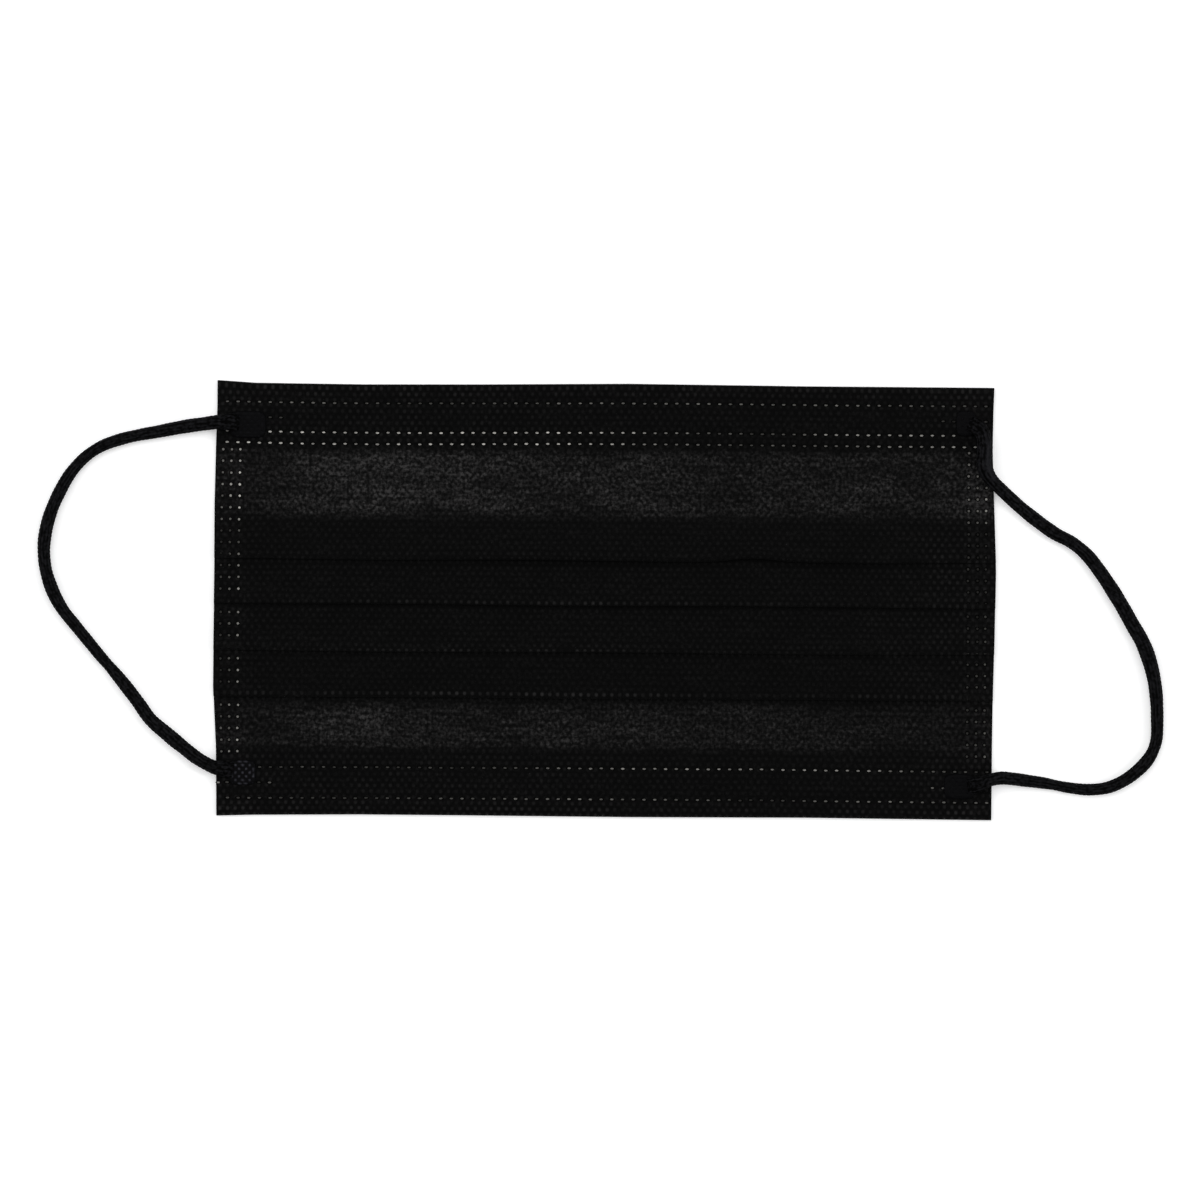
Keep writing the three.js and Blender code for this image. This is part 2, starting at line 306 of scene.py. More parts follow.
# surface: colour, roughness, specular level, index of refraction; relief: strength, depth
meltedLooks = {
    # Polypropylene melted by the ultrasonic pins: a thin clear film; the light that comes through it is
    # painted in as a pale colour, with a dark rim of painted shade round it.
    "fusedPolypropyleneFilm": {
        "surface": ("#807c74", 0.5, 0.01, 1.49), "paler": "film", "colours": ("#010101", "#efece5"),
        "grain": (2500, 1), "relief": (0.3, 0.05),
    },
    # The cord's end, melted flat under a knurled horn: closed surface, paler in the pits.
    "weldedElasticEnd": {
        "surface": ("#0d0d10", 0.6, 0.04, 1.5), "paler": "pit", "colours": ("#040405", "#3a3a40"),
        "grain": (1800, 2), "relief": (0.3, 0.06),
    },
}


def meltedSurface(name):
    look = meltedLooks[name]
    material, tree, surface = newMaterial(name, *look["surface"])
    paler = node(tree, "Attribute", attribute_name=look["paler"]).outputs["Fac"]
    dark, pale = look["colours"]
    colour = node(tree, "Mix", {0: paler, 6: dark, 7: pale}, data_type="RGBA")
    spot = node(tree, "TexCoord").outputs["Object"]
    fineness, detail = look["grain"]
    grain = node(tree, "TexNoise", {"Vector": spot, "Scale": fineness, "Detail": detail})
    strength, depth = look["relief"]
    bump = node(tree, "Bump", {"Height": grain, "Strength": strength, "Distance": depth * mm})
    feed(surface, {"Base Color": colour, "Normal": bump})
    return material


def knittedElastic():
    # Round knitted polyester and elastane cord: dull, faintly blue black yarn in ribs, with painted shade in
    # the grooves; one stretch is smoother and has a painted highlight.
    material, tree, surface = newMaterial("knittedPolyesterElastane", "#0a0a0b", 0.6, 0.02, 1.5, 0.004)
    flat = node(tree, "UVMap", uv_map="cloth")
    # yarns lie along the cord; drawn 0.3 mm wide, because single ones are too fine to show
    often = (0.5 / (0.65 * mm), 0.5 / (0.3 * mm), 1)
    spread = node(tree, "VectorMath", {0: flat, 1: often}, operation="MULTIPLY")
    yarn = node(tree, "TexNoise", {"Vector": spread, "Scale": 1, "Detail": 2, "Distortion": 0.4})
    streaks = node(tree, "MapRange", {0: yarn, 1: 0.4, 2: 0.62}, interpolation_type="SMOOTHSTEP")
    rib = node(tree, "Attribute", attribute_name="rib").outputs["Fac"]
    shade = node(tree, "Math", {0: streaks, 1: 0.75, 2: rib}, operation="MULTIPLY_ADD", use_clamp=True)
    yarns = node(tree, "Mix", {0: shade, 6: "#010101", 7: "#18181a"}, data_type="RGBA")
    # painted highlight, with lower roughness, on the sheen stretch
    sheenStretch = node(tree, "Attribute", attribute_name="sheenStretch").outputs["Fac"]
    paintedSheen = node(tree, "Math", {0: sheenStretch, 1: 0.8}, operation="MULTIPLY")
    colour = node(tree, "Mix", {0: paintedSheen, 6: yarns, 7: "#1f1f22"}, data_type="RGBA")
    gloss = node(tree, "MapRange", {0: sheenStretch, 3: 0.62, 4: 0.4})
    bump = node(tree, "Bump", {"Height": yarn, "Strength": 0.4, "Distance": 0.08 * mm})
    feed(surface, {"Base Color": colour, "Roughness": gloss, "Normal": bump})
    return material


sweep = {
    # metres: a round table whose far edge curves up behind the work, as a paper sweep does
    "rings": (0.25, 0.4, 0.6, 0.8, 1.0, 1.3, 1.7, 2.2),  # flat up to the last of these
    "bend": 0.8,
    "rise": 60.0,  # degrees of the bend
    "steps": 8,
    "sides": 96,
    "glow": (0.3, 0.85),  # lit a little from below, more towards the edge, where the lamps are far
    "glowOver": (0.25, 1.3),
}


def paperSweep():
    # Matt white card, far brighter than the cloth.
    material, tree, surface = newMaterial("mattWhiteCard", "#f4f4f4", 0.9, 0.0)
    glow = node(tree, "Attribute", attribute_name="glow").outputs["Fac"]
    feed(surface, {"Emission Strength": glow, "Emission Color": (1, 1, 1, 1)})
    return material


def addSweep():
    rings = [(radius, 0) for radius in sweep["rings"]]
    flat, bend, sides = sweep["rings"][-1], sweep["bend"], sweep["sides"]
    for i in range(1, sweep["steps"] + 1):
        turn = math.radians(sweep["rise"]) * i / sweep["steps"]
        rings.append((flat + bend * math.sin(turn), bend * (1 - math.cos(turn))))
    points, glow = [(0, 0, 0)], [sweep["glow"][0]]
    for radius, height in rings:
        for j in range(sides):
            turn = 2 * math.pi * j / sides
            points.append((radius * math.cos(turn), radius * math.sin(turn), height))
            glow.append(mix(*sweep["glow"], smoothStep(radius, *sweep["glowOver"])))
    table = makeMesh("table", points, dishFaces(0, len(rings), sides), paperSweep())
    pointValue(table, "glow", glow)


addCamera()
addLamps()
addSweep()
scene.view_settings.view_transform = "Standard"
print("camera, lamps and table ready")

lowest = 0.03  # nothing lies lower than this over the table
onHem, onGround = 3.85, 1.45  # heights of the cord's middle
# The routes are the solids' own but for a few points near the welds; a point with no height is on the table.
cords = {
    "left_ear_cord": {
        "node": "left_ear_loop",
        "route": [
            (-84.6, 39.6, onHem), (-87.5, 39.6, 3.75), (-90.5, 39.2, 3.1), (-93.5, 38.8, 2.25),
            (-97, 38.2, 1.6), (-101, 37.4), (-105.4, 36.6), (-109.5, 35.6), (-113.8, 34), (-117.5, 31.5),
            (-120.7, 27.9), (-123.1, 23.7), (-124.9, 19.6), (-126.1, 15.3), (-126.6, 10.8), (-126.1, 6),
            (-124.5, 1.2), (-122.3, -2.8), (-119.5, -6.3), (-116.6, -9.8), (-113.7, -13.3), (-110.6, -16.8),
            (-107.7, -20.3), (-105, -23.8), (-102.3, -27.5), (-98.6, -30.7, 1.5), (-94.9, -33.7, 1.8),
            (-91.6, -36.2, 2.6), (-88.2, -38, 3.6), (-86.1, -38.5, 3.5),
        ],
        "intoWelds": ((-82.9, 39.5, 1.75), (-83.7, -38.9, 1.75)),
        # share of the length, diameter
        "widths": [
            (0, 3.1), (0.06, 3.2), (0.12, 3), (0.18, 2.75), (0.29, 2.55), (0.36, 2.88), (0.45, 3),
            (0.48, 2.8), (0.54, 3), (0.6, 2.72), (0.7, 2.5), (0.75, 2.9), (0.81, 3), (0.88, 3.25),
            (0.93, 3.05), (1, 2.9),
        ],
        "sheenStretch": [(0, 0)],
    },
    "right_ear_cord": {
        "node": "right_ear_loop",
        "route": [
            (84.2, 39.2, onHem), (85.2, 37.1, onHem), (85.4, 34.8, 3.8), (85.3, 32.2, 3.7), (85.6, 30, 3.6),
            (87, 27.7, 3.5), (89.2, 25.6, 2.9), (91.6, 23.4, 2.1), (93.9, 21.4, 1.6), (97.2, 18.8),
            (101.3, 15.9), (105.3, 13.8), (108.8, 10.9), (111.8, 7.1), (114.5, 3.1), (116.9, -0.8),
            (119.1, -4.7), (121.3, -8.5), (122.9, -12.6), (124, -16.8), (124.6, -21.3), (124.8, -26),
            (124.6, -30.9), (122.8, -35), (118.9, -38.8), (114.4, -41.2), (109.8, -41.9), (105, -41.5),
            (100.1, -40.6, 1.5), (95.6, -40, 1.8), (92.5, -39.6, 2.4), (89.6, -39.4, 3.2), (87, -39.9, 3.75),
            (84.2, -41, onHem),
        ],
        "intoWelds": ((82, 40.6, 1.75), (82.2, -41.3, 1.75)),
        "widths": [
            (0, 2.9), (0.035, 3.2), (0.05, 3.6), (0.085, 3.6), (0.11, 3.2), (0.125, 2.95), (0.18, 2.95),
            (0.24, 3.15), (0.27, 2.82), (0.33, 3.12), (0.42, 3.28), (0.51, 3.4), (0.57, 3), (0.66, 2.7),
            (0.7, 2.95), (0.78, 2.68), (0.85, 2.43), (0.9, 2.9), (0.94, 3), (1, 2.8),
        ],
        # share of the length, strength of the painted highlight, on a stretch that is also smoother
        "sheenStretch": [(0.03, 0), (0.05, 0.8), (0.095, 1), (0.125, 0)],
    },
}
knit = {
    "diameter": 2.8,
    "ringStep": 0.3,
    "sides": 60,
    "wales": 12,  # stitch columns round the cord
    "course": 0.95,  # one stitch along it
    "depth": 0.12,
    "stitches": 0.35,  # how deep the stitches are, beside the wales
    "lag": 0.45,  # how far a stitch runs askew at a wale's edge
    "pressedOut": 0.8,  # share of the relief that is lost at the flat ends
    "lumps": 0.015,
    "lumpWaves": (5.1, 8.3, 13.7),
    "shade": (0.2, 0.6, 0.05, -0.2),  # paleness: everywhere, with the ribs' relief (painted shade in the grooves), on the sheen stretch (painted highlight), at the ends
    "shineAt": 25.0,  # degrees from the top, towards the outside, where the painted highlight lies on the sheen stretch
    "shineWide": 16.0,
    "settle": (0.6, 3.6),  # how much lower it lies on the soft hem than on the solid, from what height up
    "flatEnd": (1.2, 6.0),  # flat up to the first distance from an end, and round from the second
    "flatHalf": 0.34,
    "flatWide": 1.25,
    "drop": 0.45,  # how far the middle comes down with the flattening, beyond the route's own fall
    "dropOver": (0.2, 2.5, 2.0, 7.0),  # distances from an end: it begins, is full, fades, is gone
}


def resample(points, step):
    # a smooth line through the points, with a point every step
    last = len(points) - 1
    places, values = np.arange(len(points)), np.array(points, float)
    dense = np.array([curveThrough(places, values, at) for at in np.linspace(0, last, last * 24 + 1)])
    run = np.concatenate([[0], np.cumsum(np.linalg.norm(np.diff(dense, axis=0), axis=1))])
    at = np.linspace(0, run[-1], round(run[-1] / step) + 1)
    return np.stack([np.interp(at, run, dense[:, i]) for i in range(3)], 1), at


def addCord(name, cord, material):
    route = []
    sink, fullAt = knit["settle"]
    for x, y, z in [(*point, onGround)[:3] for point in cord["route"]]:
        route.append((x, y, z - sink * smoothStep(z, onGround, fullAt)))
    first, last = cord["intoWelds"]
    line, run = resample([first, *route, last], knit["ringStep"])
    length = run[-1]
    ahead = np.gradient(line, axis=0)
    ahead /= np.linalg.norm(ahead, axis=1)[:, None]
    across = np.cross(ahead, (0, 0, 1))
    across /= np.linalg.norm(across, axis=1)[:, None]
    upward = np.cross(across, ahead)
    plain = knit["diameter"] / 2
    lumps = sum(np.sin(run / wave * 2 * math.pi + chance.uniform(0, 6.3)) for wave in knit["lumpWaves"])
    radius = between(cord["widths"], run / length) / 2 + lumps * knit["lumps"]
    toEnd = np.minimum(run, length - run)
    squeeze = 1 - smoothStep(toEnd, *knit["flatEnd"])
    halfWide = radius * mix(1, knit["flatWide"], squeeze)
    halfHigh = mix(radius, knit["flatHalf"], squeeze)
    nearEnd = inBand(toEnd, *knit["dropOver"])
    lift = (radius - plain) - (plain - halfHigh) * knit["drop"] * nearEnd
    centre = line.copy()
    centre[:, 2] += lift
    rings, sides = len(run), knit["sides"]
    turn = np.arange(sides) / sides * 2 * math.pi
    wale = np.abs(((turn / (2 * math.pi) * knit["wales"]) % 1) - 0.5) * 2  # 1 at a wale's edge
    stitch = np.cos((run[:, None] / knit["course"] + wale * knit["lag"]) * 2 * math.pi)
    relief = knit["stitches"] * stitch - wale**3
    swell = 1 + relief * knit["depth"] / plain * (1 - knit["pressedOut"] * squeeze[:, None])
    points = (
        centre[:, None, :]
        + across[:, None, :] * (np.cos(turn) * halfWide[:, None] * swell)[:, :, None]
        + upward[:, None, :] * (np.sin(turn) * halfHigh[:, None] * swell)[:, :, None]
    )
    points[:, :, 2] = np.maximum(points[:, :, 2], lowest)
    faces = []
    for i in range(rings - 1):
        for j in range(sides):
            k = (j + 1) % sides
            faces.append((i * sides + j, i * sides + k, (i + 1) * sides + k, (i + 1) * sides + j))
    faces.append(tuple(reversed(range(sides))))
    faces.append(tuple((rings - 1) * sides + j for j in range(sides)))
    piece = makeMesh(name, points.reshape(-1, 3) * mm, faces, material)
    sheenStretch = between(cord["sheenStretch"], run / length)[:, None]
    # the colour follows the knit's relief as painted shade in the grooves, and the sheen stretch is painted a
    # little lighter
    everywhere, onRibs, onSheenStretch, atEnds = knit["shade"]
    shade = everywhere + onRibs * relief + onSheenStretch * sheenStretch + atEnds * squeeze[:, None]
    pointValue(piece, "rib", shade.ravel())
    lean = np.degrees(np.arctan2(np.cos(turn), np.sin(turn)))  # 0 on top
    shine = np.exp(-((lean + knit["shineAt"]) / knit["shineWide"]) ** 2)
    pointValue(piece, "sheenStretch", (sheenStretch * shine).ravel())
    unroll(piece, np.stack([np.repeat(run, sides), np.tile(turn * plain, rings)], 1))
    place(piece, "elastic_cord", cord["node"])


cordMaterial = knittedElastic()
for cordName, cordFacts in cords.items():
    addCord(cordName, cordFacts, cordMaterial)


cloth = {
    "wall": (0.5, 0.42, 0.34),  # three webs together: in the middle, in the side seams, at the cut edge
    "gap": (0.16, 0.06, 0.03),  # air between folded layers, at the same places
    "spring": (0.52, 0.13, 0.05),  # how far the pleats stand open, at the same places
    "pressFrom": 0.62,  # shares of the half width where the pleats begin to be pressed and where they are
    "pressTo": 0.88,
    "cutFrom": 0.955,
    "halfWidth": 87.7,
    "halfHeight": 48.75,
    "fray": 0.1,  # loose fibres and rounded folds reach a little past the measured edges
    "hemFlap": 34.4,  # free edge of the turned-under hem
    "hemLoft": 0.62,  # how much the hem stands open
    "pleats": [(8.9, 18.8), (-1.2, 10.1), (-11.8, -0.5), (-22.2, -11.1)],  # edge, tuck
    "step": 0.5244,  # rows of the mesh; five rows make one pitch of the seam's dots
    "dotsFrom": 33.53,
    "slant": 0.54,  # how far the middle of the mask slips to the right towards the chin
}
weldPitch = 2.41
# where the cloth ends: (height, left, right) and (place across, top, bottom)
sideEdges = [
    (49, 87.6, 87.5), (43, 87.6, 87.3), (35, 87.85, 87.2), (22, 88.1, 87.65), (7, 88.05, 88.15),
    (-8, 88.1, 87.9), (-20, 88.15, 87.65), (-34, 87.4, 87.5), (-49, 87.2, 87.45),
]
hemEdges = [
    (-87.5, 49.05, 49.05), (-79, 48.5, 48.8), (-55, 48.3, 48.55), (-30, 48.45, 48.6),
    (5, 48.85, 48.75), (45, 48.55, 48.6), (87.5, 48.5, 48.9),
]
hemWander = {
    # how far the rows of welds wander, because the cloth slipped a little: (place across, up, to the right)
    "nose": [
        (-86, 0, 0.03), (-68, -0.24, 0.1), (-51, -0.28, 0.19), (-34, -0.18, 0.09), (-17, -0.02, 0.05),
        (0, 0.08, 0.13), (17, 0.11, 0.22), (34, 0.05, 0.27), (51, -0.02, 0.11), (68, -0.05, 0.05),
        (86, -0.04, 0.08),
    ],
    "chin": [
        (-86, -0.27, 0.16), (-68, -0.16, 0.12), (-51, -0.1, 0.08), (-17, -0.07, 0.07), (0, -0.06, 0.1),
        (17, -0.04, 0.16), (34, 0, 0.1), (51, -0.14, 0.15), (68, -0.21, 0.28), (86, -0.25, 0.34),
    ],
}
edgeWaves = [  # how each pleat edge wanders: (place across, up or down)
    [(-80, 0.1), (-50, -0.1), (-20, 0.12), (10, -0.05), (24, 0), (33, 0.75), (42, 0.1), (60, -0.15),
     (80, 0.1)],
    [(-80, 0), (-45, 0.1), (-10, -0.08), (30, 0.1), (60, 0), (80, -0.1)],
    [(-80, 0.05), (-40, -0.1), (0, 0.08), (40, -0.06), (80, 0.05)],
    [(-80, -0.05), (-40, 0.08), (0, -0.05), (40, 0.1), (80, 0)],
]
# columns of the mesh, which pass through the dots; their number less one is a multiple of four, because the
# back takes every fourth
columns = np.concatenate([
    [-87.7, -87.35, -87.0, -86.65, -86.15, -85.6, -85.1, -84.58, -84.1, -83.6, -83.15, -82.67, -82.2,
     -81.7, -81.2],
    -1.12 + weldPitch / 3 * np.arange(-99, 103),
    [81.2, 81.65, 82.1, 82.6, 83.1, 83.5, 83.9, 84.3, 84.8, 85.2, 85.6, 86.05, 86.5, 86.95, 87.35, 87.7],
])
share = np.abs(columns) / cloth["halfWidth"]
pressed = smoothStep(share, cloth["pressFrom"], cloth["pressTo"])
cut = smoothStep(share, cloth["cutFrom"], 1.0)


def threePlaces(values):
    return mix(mix(values[0], values[1], pressed), values[2], cut)


wall = threePlaces(cloth["wall"])
gap = threePlaces(cloth["gap"])
# the pleats spring open a little more in some places than in others
uneven = 1 + 0.12 * np.sin(columns / 47 + 0.8) + 0.08 * np.sin(columns / 19 + 2.1)
spring = threePlaces(cloth["spring"]) * uneven
level = wall + gap
ground = wall / 2 + lowest
one = np.ones_like(columns)
pleats, flap = cloth["pleats"], cloth["hemFlap"]
under = [2 * level + spring] * 3 + [0.1 + 0.25 * spring]
crest = [ground + u + 2 * level for u in under]  # middle of the strip at each pleat's edge

hemProfile = [  # the hem swells between its rows of welds: (height, share of the loft)
    (34.4, 0.5), (35.2, 0.55), (36.4, 0.85), (37.75, 0.68), (39.4, 0.95), (41, 0.92), (42.8, 0.95),
    (44.4, 0.7), (46.2, 1.0), (47.6, 0.92), (49, 0.85),
]


def hemHeight(y):
    # middle of the hem's front layer
    return ground + level + cloth["hemLoft"] * between(hemProfile, abs(y)) * mix(1.0, 0.95, cut)


def topStrip(y):
    hem, bay = hemHeight(flap), ground + 0.5 * level + 0.35
    places = [pleats[0][0], 14, 18.8, 23, 27.5, 31.5, 33.6, flap]
    values = [
        crest[0],
        ground + 2 * level + 0.62 * under[0],
        ground + 2 * level + 0.32 * spring + 0.1,
        ground + 1.35 * level + 0.2 * spring,
        ground + 0.55 * level + 0.15 * spring + 0.25,
        bay,
        mix(bay, hem, 0.7),
        hem,
    ]
    return curveThrough(places, values, y)


def outerStrip(k, y):
    # from tuck k down past edge k, where the strip comes into view, to the next edge or the chin's hem
    edge, tuck = pleats[k]
    if y >= edge:
        return mix(ground + under[k], ground, (y - edge) / (tuck - edge))
    if k == 3:
        hem, bay = hemHeight(flap), ground + 0.45 * level + 0.3
        places = [-flap, -33.6, -31.0, -27.0, edge]
        near = ground + 0.3 * level + 0.15 * spring + 0.2
        return curveThrough(places, [hem, mix(bay, hem, 0.7), bay, near, ground + under[3]], y)
    t = (edge - y) / (edge - pleats[k + 1][0])
    return mix(ground + under[k], crest[k + 1], t) + 0.22 * spring * math.sin(math.pi * t)


def foldRows(tip, points, start, end, steps):
    # rows round a fold whose outside touches tip; start and end are the heights it joins
    radius = np.abs(end - start) / 2
    centre = tip - points * (radius + wall / 2)
    for i in range(steps + 1):
        turn = math.pi * i / steps
        yield centre + points * radius * math.sin(turn), mix(start, end, (1 - math.cos(turn)) / 2)


# heights of the mesh rows on the hems, close together at the rows of welds
noseRows = [
    47.7, 47.1, 46.5, 45.9, 45.4, 45.05, 44.72, 44.4, 44.08, 43.75, 43.3, 42.8, 42.3, 41.8, 41.35, 40.95,
    40.55, 40.1, 39.6, 39.1, 38.6, 38.2, 37.95, 37.75, 37.45, 37.1, 36.6, 36.15, 35.8, 35.5, 35.2, 34.9,
    34.55,
]
chinRows = [
    -34.55, -35.2, -35.8, -36.3, -36.8, -37.2, -37.55, -37.86, -38.17, -38.5, -39, -39.5, -40, -40.5, -40.9,
    -41.3, -41.65, -42, -42.5, -43, -43.5, -44, -44.4, -44.8, -45.2, -45.6, -46.1, -46.6, -47.1, -47.7,
]


def seamRows(high, low):
    # rows that pass through the seam's dots, between two heights
    y = cloth["dotsFrom"] - cloth["step"] * np.arange(140)
    return y[(y < high) & (y > low)]


rows = []  # (y, z, shown, pleat whose wander it follows and how much)
edgeRow = []  # the row at the tip of each pleat's edge


def addRow(y, z, shown=False, pleat=None, follow=0.0):
    rows.append((y * one, z * one, shown, pleat, follow))


def nearEdge(y, edge):
    return 1 - smoothStep(abs(y - edge), 0.6, 5.0)


def buildRows():
    half = cloth["halfHeight"]
    frontHem = hemHeight(48.6)
    for y in np.linspace(flap, 46.8, 7):
        addRow(y, ground)
    for y, z in foldRows(half, 1, ground, frontHem, 8):
        addRow(y, z, shown=True)
    for y in noseRows:
        addRow(y, hemHeight(y), shown=True)
    firstEdge = pleats[0][0]
    for y in seamRows(34.2, firstEdge + 0.95):
        addRow(y, topStrip(y), True, 0, nearEdge(y, firstEdge))
    for k, (edge, tuck) in enumerate(pleats):
        edgeRow.append(len(rows) + 3)
        for y, z in foldRows(edge, -1, crest[k], crest[k] - level, 7):
            addRow(y, z, True, k, 1.0)
        for y in np.linspace(edge + 1.6, tuck - 1.4, 4):  # hidden layer from the edge back up to the tuck
            z = mix(crest[k] - level, ground + level, (y - edge) / (tuck - edge))
            addRow(y, z, False, k, nearEdge(y, edge))
        for y, z in foldRows(tuck, 1, ground + level, ground, 5):
            addRow(y, z)
        for y in np.linspace(tuck - 1.4, edge + 1.5, 4):
            addRow(y, outerStrip(k, y))
        if k < 3:
            following = pleats[k + 1][0]
            for y in seamRows(edge + 0.8, following + 0.95):
                addRow(y, outerStrip(k, y), True, k + 1, nearEdge(y, following))
    for y in seamRows(pleats[3][0] + 0.8, -34.2):
        addRow(y, outerStrip(3, y), True)
    for y in chinRows:
        addRow(y, hemHeight(y), shown=True)
    for y, z in foldRows(-half, -1, frontHem, ground, 8):
        addRow(y, z, shown=True)
    for y in np.linspace(-46.8, -flap, 7):
        addRow(y, ground)


buildRows()
rowY, rowZ, rowShown = (np.array([row[k] for row in rows]) for k in range(3))
middleColumn = len(columns) // 2
steps = np.hypot(np.diff(rowY[:, middleColumn]), np.diff(rowZ[:, middleColumn]))
alongCloth = np.concatenate([[0], np.cumsum(steps)])
print("cloth rows", len(rows), "cut length mm", round(alongCloth[-1], 1))


def normals2d(y, z):
    # unit normals of the outer face, in the plane across the pleats
    dy, dz = np.diff(y, axis=0), np.diff(z, axis=0)
    size = np.hypot(dy, dz)
    dy, dz = dy / size, dz / size
    ty = np.concatenate([dy[:1], dy[:-1] + dy[1:], dy[-1:]])
    tz = np.concatenate([dz[:1], dz[:-1] + dz[1:], dz[-1:]])
    size = np.hypot(ty, tz)
    return tz / size, -ty / size


def hemShift(hem, x):
    # to the right and up
    return [between(hemWander[hem], x, k) for k in (2, 1)]


def warp(y):
    # where the wandering edges put a nominal place: (x, y) for every row and column
    betweenSeams = 1 - smoothStep(share, 0.9, 0.93)
    x = columns + cloth["slant"] * smoothStep(-y, -20, 30) * betweenSeams
    left, right = (between(sideEdges, y, k) - cloth["halfWidth"] + cloth["fray"] for k in (1, 2))
    x += np.where(x > 0, right, -left) * smoothStep(share, 0.95, 1.0)
    top, bottom = (between(hemEdges, x, k) - cloth["halfHeight"] + cloth["fray"] for k in (1, 2))
    moved = y + np.where(y > 0, top, -bottom) * smoothStep(np.abs(y), 44.9, 48.75)
    drift = 0
    for hem, side, fadeFrom, fadeTo in (("nose", 1, 22, 34), ("chin", -1, 33, 36.5)):
        right, up = hemShift(hem, x)
        drift += right * smoothStep(side * y, fadeFrom, fadeTo) * betweenSeams
        moved += up * inBand(side * y, fadeFrom, fadeTo, 45.5, 48.5)
    return x + drift, moved


def wander():
    # each pleat edge follows its own line across the mask
    shift = np.zeros_like(rowY)
    for i, (_, _, _, pleat, follow) in enumerate(rows):
        if follow > 0:
            places, heights = np.array(edgeWaves[pleat], float).T
            shift[i] = [follow * curveThrough(places, heights, min(max(c, -80), 80)) for c in columns]
    return shift


outY, outZ = normals2d(rowY, rowZ)
clothX, movedY = warp(rowY)
movedY += wander()
frontY, backY = movedY + outY * wall / 2, movedY - outY * wall / 2
# slow swells of the whole mask, larger where it stands higher, so that no layer meets another
swells = [(0.05, 21, 17, 0), (0.04, 9.5, -23, 1.7), (0.03, 5.7, 6.1, 0.4)]  # size, across, along, phase
swell = sum(size * np.sin(clothX / across + frontY / along + phase) for size, across, along, phase in swells)
calmed = 1 + swell * (1 - 0.7 * pressed)
frontZ = np.maximum(rowZ + outZ * wall / 2, lowest) * calmed
backZ = np.maximum(rowZ - outZ * wall / 2, lowest) * calmed

hemWelds = {
    # rows of dashes: height, first place, how many, and (place, paleness of the film from 0 to 255)
    "nose": [
        (44.4, -85.47, 72, [(-86, 65), (-60, 70), (-45, 45), (-28, 55), (-11, 75), (10, 80), (24, 75),
         (34, 65), (53, 85), (61, 75), (80, 55)]),
        (37.75, -75.83, 65, [(-76, 130), (-46, 135), (-26, 130), (-7, 140), (3, 120), (12, 100), (22, 65),
         (31, 50), (42, 55), (50, 100), (60, 105), (79, 95)]),
        (35.2, -85.47, 71, [(-76, 130), (-54, 110), (-32, 145), (-11, 135), (3, 110), (11, 90), (22, 65),
         (33, 60), (44, 60), (54, 70), (65, 85), (75, 100), (84, 95)]),
        (37.75, -85.47, 1, [(0, 85)]),
        (40.95, -75.83, 2, [(0, 50)]),
        (40.95, 76, 1, [(0, 50)]),
        (40.95, 78.4, 1, [(0, 30)]),
        (40.95, 85.64, 1, [(0, 45)]),
    ],
    "chin": [
        (-37.86, -77.73, 69, [(-78, 45), (-68, 50), (-46, 45), (-25, 50), (-12, 70), (-3, 85), (10, 100),
         (39, 100), (58, 100), (68, 75), (78, 60), (87, 40)]),
        (-44.8, -84.96, 72, [(-54, 50), (-32, 60), (-18, 75), (-10, 85), (11, 70), (24, 65), (30, 40),
         (41, 40), (45, 70), (55, 90), (76, 60)]),
        (-41.3, -85.1, 1, [(0, 55)]),
        (-41.33, -87.06, 1, [(0, 95)]),
        (-41.35, -77.86, 2, [(-77.7, 30), (-75.3, 60)]),
        (-41.53, 73.9, 2, [(0, 65)]),
    ],
}
seamWelds = {
    # columns of dots: place across, its bow as (height, shift), and (height, paleness)
    "left": [
        (-86.65, [(34, 0.39), (18, 0.09), (0, -0.04), (-18, 0.07), (-34, 0.36)], [(34, 95), (19, 80),
         (15.5, 40), (5, 45), (-3, 45), (-16, 30), (-21, 35), (-24, 55), (-35, 60)]),
        (-84.58, [(34, 0.17), (18, -0.04), (0, -0.14), (-18, -0.08), (-34, 0.1)], [(34, 105), (21, 105),
         (15.5, 45), (9, 50), (-1, 90), (-10, 55), (-21, 65), (-24, 85), (-35, 85)]),
        (-82.67, [(34, 0.26), (18, 0.1), (0, 0), (-34, -0.03)], [(34, 115), (25, 150), (19, 130), (15.5, 60),
         (9, 95), (3, 120), (-3, 110), (-10, 80), (-15, 110), (-20, 100), (-24, 115), (-35, 115)]),
    ],
    "right": [
        (81.93, [(34, 0.05), (0, 0), (-34, 0.1)], [(34, 90), (19, 60), (15.5, 30), (9, 30), (-3, 25),
         (-16, 40), (-35, 45)]),
        (84.06, [(34, -0.12), (0, 0), (-34, -0.1)], [(34, 70), (28, 80), (19, 70), (15.5, 25), (-3, 25),
         (-16, 40), (-29, 45)]),
        (85.9, [(0, 0)], [(34, 80), (19, 105), (15.5, 35), (9, 30), (-3, 40), (-16, 55), (-29, 60)]),
    ],
}
# the right seam's rows slipped a little as the roller crossed the pleats: (height, how much higher)
rightRise = [
    (34, 0.28), (0, 0.3), (-3, 0.05), (-6, 0), (-8.5, -0.34), (-14, -0.28), (-19, -0.13), (-32, -0.05),
]
hemSpot = (0.36, 0.195)  # half sizes of a dash
seamDotRows = {"from": -34.6, "pitch": 2.622, "count": 27, "size": 0.265}
pit = {"depth": 0.4, "wide": 1.35, "high": 1.6}  # depth, and how many times the spot's half size it reaches
film = {
    # rings from the middle outwards: share of the half size, height over the cloth, paleness (painted light
    # through the film; 0 outside, a dark rim of painted shade)
    "rings": [(0, 0.02, 1), (0.5, 0.03, 1), (0.9, 0.06, 0.85), (1.1, 0.07, 0.15), (1.3, 0.06, 0),
              (1.75, 0.05, 0), (1.95, -0.05, 0)],
    "sides": 16,
    "thick": 0.12,
    "strength": 1.95,
}


